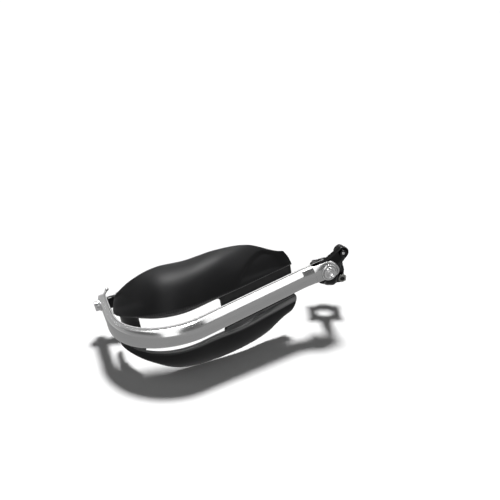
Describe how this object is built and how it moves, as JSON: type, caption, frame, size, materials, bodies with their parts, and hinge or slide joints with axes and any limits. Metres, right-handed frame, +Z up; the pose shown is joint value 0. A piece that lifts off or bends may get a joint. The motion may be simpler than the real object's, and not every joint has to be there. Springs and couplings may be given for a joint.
{
  "type": "motorcycle hand guard",
  "caption": "Moulded black shell with a long window on a bent bright tube bow, with a bar end anchor, a two piece arm and a split handlebar clamp.",
  "frame": {"origin": "middle of the handlebar clamp bore, on its axis", "axes": "+X along the straight run of the bow towards the middle of the motorcycle, +Y from the bow back to the rider, +Z up, square to the plane of the bow"},
  "size_m": [0.2709, 0.1558, 0.1008],
  "materials": {
    "satin_aluminium": "satin polished",
    "bright_steel": "polished",
    "zinc_steel": "zinc plated",
    "black_anodised": "gloss black",
    "black_plastic": "fine satin grain"
  },
  "bodies": {
    "root": {"bow": "satin_aluminium", "fork_washer": "bright_steel", "fork_bolt": "bright_steel", "fork_nut": "black_anodised", "link": "black_anodised", "link_bolt": "bright_steel", "arm": "black_anodised", "clamp_cap": "black_anodised", "clamp_bolts": "bright_steel", "clamp_nuts": "zinc_steel", "shell": "black_plastic", "shell_washers": "zinc_steel", "shell_screws": "zinc_steel", "bar_end_bolt": "bright_steel", "bar_end_washer": "bright_steel", "bar_end_spacer": "black_anodised", "expander_sleeve": "zinc_steel", "expander_cone": "zinc_steel", "lock_pin": "bright_steel"}
  },
  "joints": []
}
